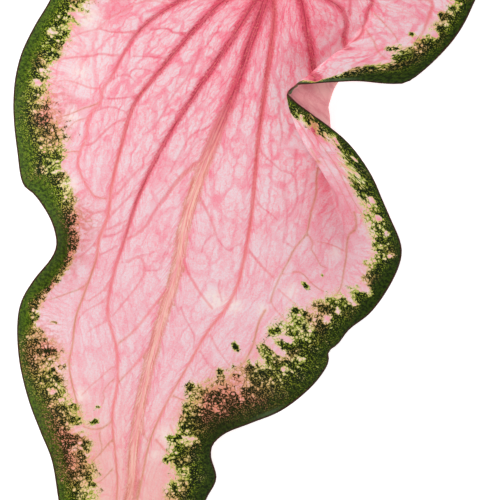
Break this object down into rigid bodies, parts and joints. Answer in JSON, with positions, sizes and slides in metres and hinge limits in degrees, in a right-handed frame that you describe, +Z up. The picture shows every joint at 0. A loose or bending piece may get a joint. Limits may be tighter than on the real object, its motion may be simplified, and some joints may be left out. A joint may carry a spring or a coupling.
{
  "type": "caladium leaf",
  "caption": "Picked caladium leaf: a long heart-shaped pink blade with a waved green margin and one deep fold, and its cut stalk, lying flat.",
  "frame": {"origin": "middle of the whole leaf's box, on the surface that the leaf lies on", "axes": "+Z up from the surface, -Y along the midrib to the tip, +Y along the stalk to its cut end, +X across the blade to the side with the fold"},
  "size_m": [0.1556, 0.4108, 0.0206],
  "materials": {
    "blade": "satin leaf skin, pink with rose veins and a dark green speckled margin",
    "stalk": "smooth fleshy skin, green with fine brown streaks"
  },
  "bodies": {
    "root": {"leaf_blade": "blade", "petiole": "stalk"}
  },
  "joints": []
}
